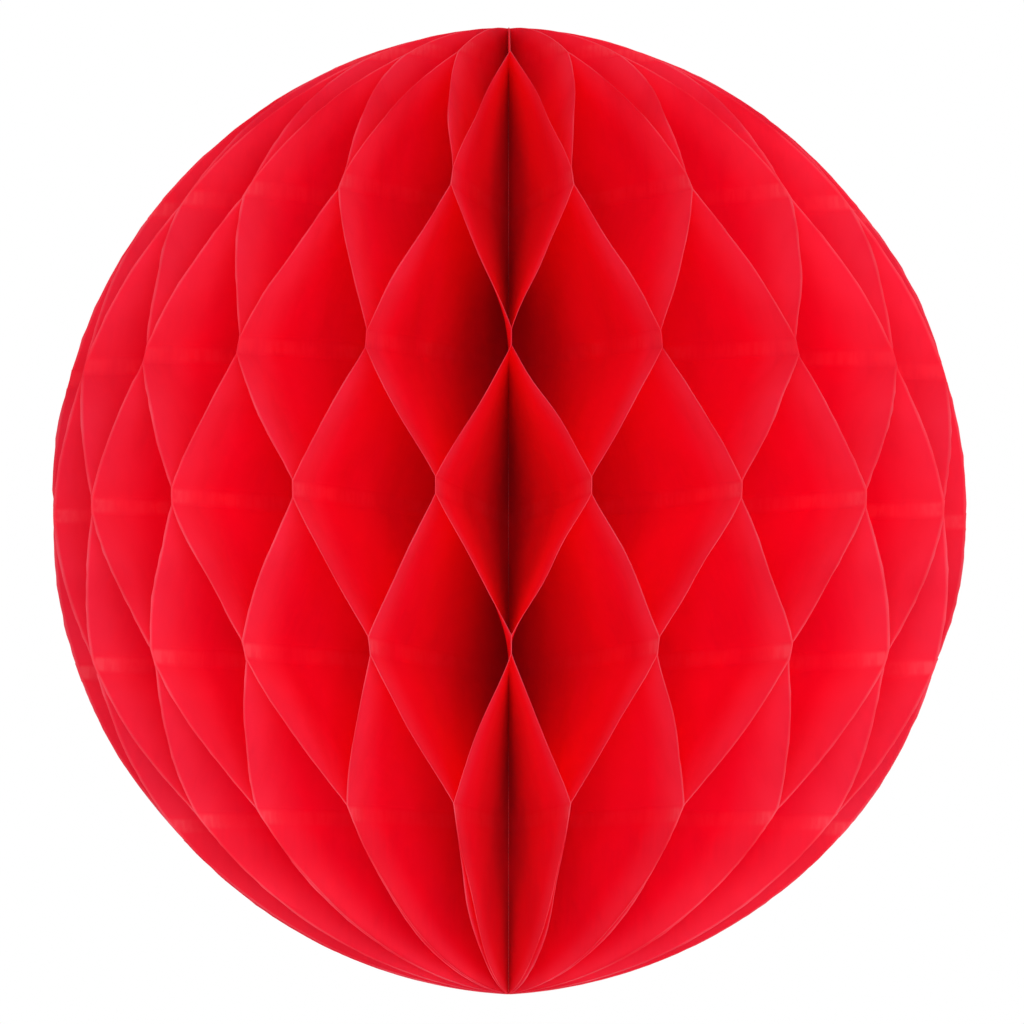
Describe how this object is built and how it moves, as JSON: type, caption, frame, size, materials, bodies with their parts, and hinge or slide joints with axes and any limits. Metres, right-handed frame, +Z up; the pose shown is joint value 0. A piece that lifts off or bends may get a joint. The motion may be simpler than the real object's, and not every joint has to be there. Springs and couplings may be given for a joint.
{
  "type": "paper honeycomb ball",
  "caption": "Tissue-paper honeycomb ball: thin half-round leaves between two card covers, fanned open about a central spine into a ball, and folding flat.",
  "frame": {"origin": "the middle of the open ball, half way up its spine", "axes": "+Z up the spine, +Y towards the seam where the two covers meet, +X towards the side whose leaves are spread a little wider"},
  "size_m": [0.189, 0.189, 0.2],
  "materials": {
    "red_tissue": "matte",
    "cover_card": "matte",
    "spine_thread": "matte",
    "binding_paper": "matte",
    "adhesive_film": "satin"
  },
  "bodies": {
    "fixed_side": {"fixed_cover": "cover_card", "spine_thread": "spine_thread", "binding_strip": "binding_paper", "adhesive_strip_lower": "adhesive_film", "adhesive_strip_middle": "adhesive_film", "adhesive_strip_upper": "adhesive_film"},
    "leaf_01": {"tissue_leaf_01": "red_tissue"},
    "leaf_02": {"tissue_leaf_02": "red_tissue"},
    "leaf_03": {"tissue_leaf_03": "red_tissue"},
    "leaf_04": {"tissue_leaf_04": "red_tissue"},
    "leaf_05": {"tissue_leaf_05": "red_tissue"},
    "leaf_06": {"tissue_leaf_06": "red_tissue"},
    "leaf_07": {"tissue_leaf_07": "red_tissue"},
    "leaf_08": {"tissue_leaf_08": "red_tissue"},
    "leaf_09": {"tissue_leaf_09": "red_tissue"},
    "leaf_10": {"tissue_leaf_10": "red_tissue"},
    "leaf_11": {"tissue_leaf_11": "red_tissue"},
    "leaf_12": {"tissue_leaf_12": "red_tissue"},
    "leaf_13": {"tissue_leaf_13": "red_tissue"},
    "leaf_14": {"tissue_leaf_14": "red_tissue"},
    "leaf_15": {"tissue_leaf_15": "red_tissue"},
    "leaf_16": {"tissue_leaf_16": "red_tissue"},
    "leaf_17": {"tissue_leaf_17": "red_tissue"},
    "leaf_18": {"tissue_leaf_18": "red_tissue"},
    "leaf_19": {"tissue_leaf_19": "red_tissue"},
    "leaf_20": {"tissue_leaf_20": "red_tissue"},
    "leaf_21": {"tissue_leaf_21": "red_tissue"},
    "leaf_22": {"tissue_leaf_22": "red_tissue"},
    "leaf_23": {"tissue_leaf_23": "red_tissue"},
    "leaf_24": {"tissue_leaf_24": "red_tissue"},
    "leaf_25": {"tissue_leaf_25": "red_tissue"},
    "leaf_26": {"tissue_leaf_26": "red_tissue"},
    "leaf_27": {"tissue_leaf_27": "red_tissue"},
    "leaf_28": {"tissue_leaf_28": "red_tissue"},
    "leaf_29": {"tissue_leaf_29": "red_tissue"},
    "leaf_30": {"tissue_leaf_30": "red_tissue"},
    "leaf_31": {"tissue_leaf_31": "red_tissue"},
    "leaf_32": {"tissue_leaf_32": "red_tissue"},
    "leaf_33": {"tissue_leaf_33": "red_tissue"},
    "leaf_34": {"tissue_leaf_34": "red_tissue"},
    "leaf_35": {"tissue_leaf_35": "red_tissue"},
    "leaf_36": {"tissue_leaf_36": "red_tissue"},
    "leaf_37": {"tissue_leaf_37": "red_tissue"},
    "free_side": {"free_cover": "cover_card", "tissue_leaf_38": "red_tissue"}
  },
  "joints": [
    {"name": "fan_01", "type": "hinge", "parent": "fixed_side", "child": "leaf_01", "pos_m": [-0.00026, 0.00334, 0], "axis": [0, 0, 1], "range_deg": [-9, 0]},
    {"name": "fan_02", "type": "hinge", "parent": "leaf_01", "child": "leaf_02", "pos_m": [-0.00015, 0.00062, 0], "axis": [0, 0, 1], "range_deg": [-9, 0]},
    {"name": "fan_03", "type": "hinge", "parent": "leaf_02", "child": "leaf_03", "pos_m": [-0.00024, 0.00059, 0], "axis": [0, 0, 1], "range_deg": [-9, 0]},
    {"name": "fan_04", "type": "hinge", "parent": "leaf_03", "child": "leaf_04", "pos_m": [-0.00033, 0.00054, 0], "axis": [0, 0, 1], "range_deg": [-9, 0]},
    {"name": "fan_05", "type": "hinge", "parent": "leaf_04", "child": "leaf_05", "pos_m": [-0.00041, 0.00048, 0], "axis": [0, 0, 1], "range_deg": [-9, 0]},
    {"name": "fan_06", "type": "hinge", "parent": "leaf_05", "child": "leaf_06", "pos_m": [-0.00048, 0.00041, 0], "axis": [0, 0, 1], "range_deg": [-9, 0]},
    {"name": "fan_07", "type": "hinge", "parent": "leaf_06", "child": "leaf_07", "pos_m": [-0.00054, 0.00033, 0], "axis": [0, 0, 1], "range_deg": [-9, 0]},
    {"name": "fan_08", "type": "hinge", "parent": "leaf_07", "child": "leaf_08", "pos_m": [-0.00059, 0.00024, 0], "axis": [0, 0, 1], "range_deg": [-9, 0]},
    {"name": "fan_09", "type": "hinge", "parent": "leaf_08", "child": "leaf_09", "pos_m": [-0.00062, 0.00015, 0], "axis": [0, 0, 1], "range_deg": [-9, 0]},
    {"name": "fan_10", "type": "hinge", "parent": "leaf_09", "child": "leaf_10", "pos_m": [-0.00064, 0.00005, 0], "axis": [0, 0, 1], "range_deg": [-9, 0]},
    {"name": "fan_11", "type": "hinge", "parent": "leaf_10", "child": "leaf_11", "pos_m": [-0.00064, -0.00005, 0], "axis": [0, 0, 1], "range_deg": [-9, 0]},
    {"name": "fan_12", "type": "hinge", "parent": "leaf_11", "child": "leaf_12", "pos_m": [-0.00062, -0.00015, 0], "axis": [0, 0, 1], "range_deg": [-9, 0]},
    {"name": "fan_13", "type": "hinge", "parent": "leaf_12", "child": "leaf_13", "pos_m": [-0.00059, -0.00024, 0], "axis": [0, 0, 1], "range_deg": [-9, 0]},
    {"name": "fan_14", "type": "hinge", "parent": "leaf_13", "child": "leaf_14", "pos_m": [-0.00054, -0.00033, 0], "axis": [0, 0, 1], "range_deg": [-9, 0]},
    {"name": "fan_15", "type": "hinge", "parent": "leaf_14", "child": "leaf_15", "pos_m": [-0.00048, -0.00041, 0], "axis": [0, 0, 1], "range_deg": [-9, 0]},
    {"name": "fan_16", "type": "hinge", "parent": "leaf_15", "child": "leaf_16", "pos_m": [-0.00041, -0.00048, 0], "axis": [0, 0, 1], "range_deg": [-9, 0]},
    {"name": "fan_17", "type": "hinge", "parent": "leaf_16", "child": "leaf_17", "pos_m": [-0.00033, -0.00054, 0], "axis": [0, 0, 1], "range_deg": [-9, 0]},
    {"name": "fan_18", "type": "hinge", "parent": "leaf_17", "child": "leaf_18", "pos_m": [-0.00024, -0.00059, 0], "axis": [0, 0, 1], "range_deg": [-9, 0]},
    {"name": "fan_19", "type": "hinge", "parent": "leaf_18", "child": "leaf_19", "pos_m": [-0.00015, -0.00062, 0], "axis": [0, 0, 1], "range_deg": [-9, 0]},
    {"name": "fan_20", "type": "hinge", "parent": "leaf_19", "child": "leaf_20", "pos_m": [-0.00005, -0.00064, 0], "axis": [0, 0, 1], "range_deg": [-9, 0]},
    {"name": "fan_21", "type": "hinge", "parent": "leaf_20", "child": "leaf_21", "pos_m": [0.00005, -0.00057, 0], "axis": [0, 0, 1], "range_deg": [-10, 0]},
    {"name": "fan_22", "type": "hinge", "parent": "leaf_21", "child": "leaf_22", "pos_m": [0.00015, -0.00055, 0], "axis": [0, 0, 1], "range_deg": [-10, 0]},
    {"name": "fan_23", "type": "hinge", "parent": "leaf_22", "child": "leaf_23", "pos_m": [0.00024, -0.00052, 0], "axis": [0, 0, 1], "range_deg": [-10, 0]},
    {"name": "fan_24", "type": "hinge", "parent": "leaf_23", "child": "leaf_24", "pos_m": [0.00033, -0.00047, 0], "axis": [0, 0, 1], "range_deg": [-10, 0]},
    {"name": "fan_25", "type": "hinge", "parent": "leaf_24", "child": "leaf_25", "pos_m": [0.00041, -0.00041, 0], "axis": [0, 0, 1], "range_deg": [-10, 0]},
    {"name": "fan_26", "type": "hinge", "parent": "leaf_25", "child": "leaf_26", "pos_m": [0.00047, -0.00033, 0], "axis": [0, 0, 1], "range_deg": [-10, 0]},
    {"name": "fan_27", "type": "hinge", "parent": "leaf_26", "child": "leaf_27", "pos_m": [0.00052, -0.00024, 0], "axis": [0, 0, 1], "range_deg": [-10, 0]},
    {"name": "fan_28", "type": "hinge", "parent": "leaf_27", "child": "leaf_28", "pos_m": [0.00055, -0.00015, 0], "axis": [0, 0, 1], "range_deg": [-10, 0]},
    {"name": "fan_29", "type": "hinge", "parent": "leaf_28", "child": "leaf_29", "pos_m": [0.00057, -0.00005, 0], "axis": [0, 0, 1], "range_deg": [-10, 0]},
    {"name": "fan_30", "type": "hinge", "parent": "leaf_29", "child": "leaf_30", "pos_m": [0.00057, 0.00005, 0], "axis": [0, 0, 1], "range_deg": [-10, 0]},
    {"name": "fan_31", "type": "hinge", "parent": "leaf_30", "child": "leaf_31", "pos_m": [0.00055, 0.00015, 0], "axis": [0, 0, 1], "range_deg": [-10, 0]},
    {"name": "fan_32", "type": "hinge", "parent": "leaf_31", "child": "leaf_32", "pos_m": [0.00052, 0.00024, 0], "axis": [0, 0, 1], "range_deg": [-10, 0]},
    {"name": "fan_33", "type": "hinge", "parent": "leaf_32", "child": "leaf_33", "pos_m": [0.00047, 0.00033, 0], "axis": [0, 0, 1], "range_deg": [-10, 0]},
    {"name": "fan_34", "type": "hinge", "parent": "leaf_33", "child": "leaf_34", "pos_m": [0.00041, 0.00041, 0], "axis": [0, 0, 1], "range_deg": [-10, 0]},
    {"name": "fan_35", "type": "hinge", "parent": "leaf_34", "child": "leaf_35", "pos_m": [0.00033, 0.00047, 0], "axis": [0, 0, 1], "range_deg": [-10, 0]},
    {"name": "fan_36", "type": "hinge", "parent": "leaf_35", "child": "leaf_36", "pos_m": [0.00024, 0.00052, 0], "axis": [0, 0, 1], "range_deg": [-10, 0]},
    {"name": "fan_37", "type": "hinge", "parent": "leaf_36", "child": "leaf_37", "pos_m": [0.00015, 0.00055, 0], "axis": [0, 0, 1], "range_deg": [-10, 0]},
    {"name": "fan_38", "type": "hinge", "parent": "leaf_37", "child": "free_side", "pos_m": [0.00029, 0.00329, 0], "axis": [0, 0, 1], "range_deg": [-10, 0]}
  ],
  "couplings": [
    {"joint": "fan_01", "follows": "fan_38", "ratio": 0.9},
    {"joint": "fan_02", "follows": "fan_38", "ratio": 0.9},
    {"joint": "fan_03", "follows": "fan_38", "ratio": 0.9},
    {"joint": "fan_04", "follows": "fan_38", "ratio": 0.9},
    {"joint": "fan_05", "follows": "fan_38", "ratio": 0.9},
    {"joint": "fan_06", "follows": "fan_38", "ratio": 0.9},
    {"joint": "fan_07", "follows": "fan_38", "ratio": 0.9},
    {"joint": "fan_08", "follows": "fan_38", "ratio": 0.9},
    {"joint": "fan_09", "follows": "fan_38", "ratio": 0.9},
    {"joint": "fan_10", "follows": "fan_38", "ratio": 0.9},
    {"joint": "fan_11", "follows": "fan_38", "ratio": 0.9},
    {"joint": "fan_12", "follows": "fan_38", "ratio": 0.9},
    {"joint": "fan_13", "follows": "fan_38", "ratio": 0.9},
    {"joint": "fan_14", "follows": "fan_38", "ratio": 0.9},
    {"joint": "fan_15", "follows": "fan_38", "ratio": 0.9},
    {"joint": "fan_16", "follows": "fan_38", "ratio": 0.9},
    {"joint": "fan_17", "follows": "fan_38", "ratio": 0.9},
    {"joint": "fan_18", "follows": "fan_38", "ratio": 0.9},
    {"joint": "fan_19", "follows": "fan_38", "ratio": 0.9},
    {"joint": "fan_20", "follows": "fan_38", "ratio": 0.9},
    {"joint": "fan_21", "follows": "fan_38", "ratio": 1},
    {"joint": "fan_22", "follows": "fan_38", "ratio": 1},
    {"joint": "fan_23", "follows": "fan_38", "ratio": 1},
    {"joint": "fan_24", "follows": "fan_38", "ratio": 1},
    {"joint": "fan_25", "follows": "fan_38", "ratio": 1},
    {"joint": "fan_26", "follows": "fan_38", "ratio": 1},
    {"joint": "fan_27", "follows": "fan_38", "ratio": 1},
    {"joint": "fan_28", "follows": "fan_38", "ratio": 1},
    {"joint": "fan_29", "follows": "fan_38", "ratio": 1},
    {"joint": "fan_30", "follows": "fan_38", "ratio": 1},
    {"joint": "fan_31", "follows": "fan_38", "ratio": 1},
    {"joint": "fan_32", "follows": "fan_38", "ratio": 1},
    {"joint": "fan_33", "follows": "fan_38", "ratio": 1},
    {"joint": "fan_34", "follows": "fan_38", "ratio": 1},
    {"joint": "fan_35", "follows": "fan_38", "ratio": 1},
    {"joint": "fan_36", "follows": "fan_38", "ratio": 1},
    {"joint": "fan_37", "follows": "fan_38", "ratio": 1}
  ]
}
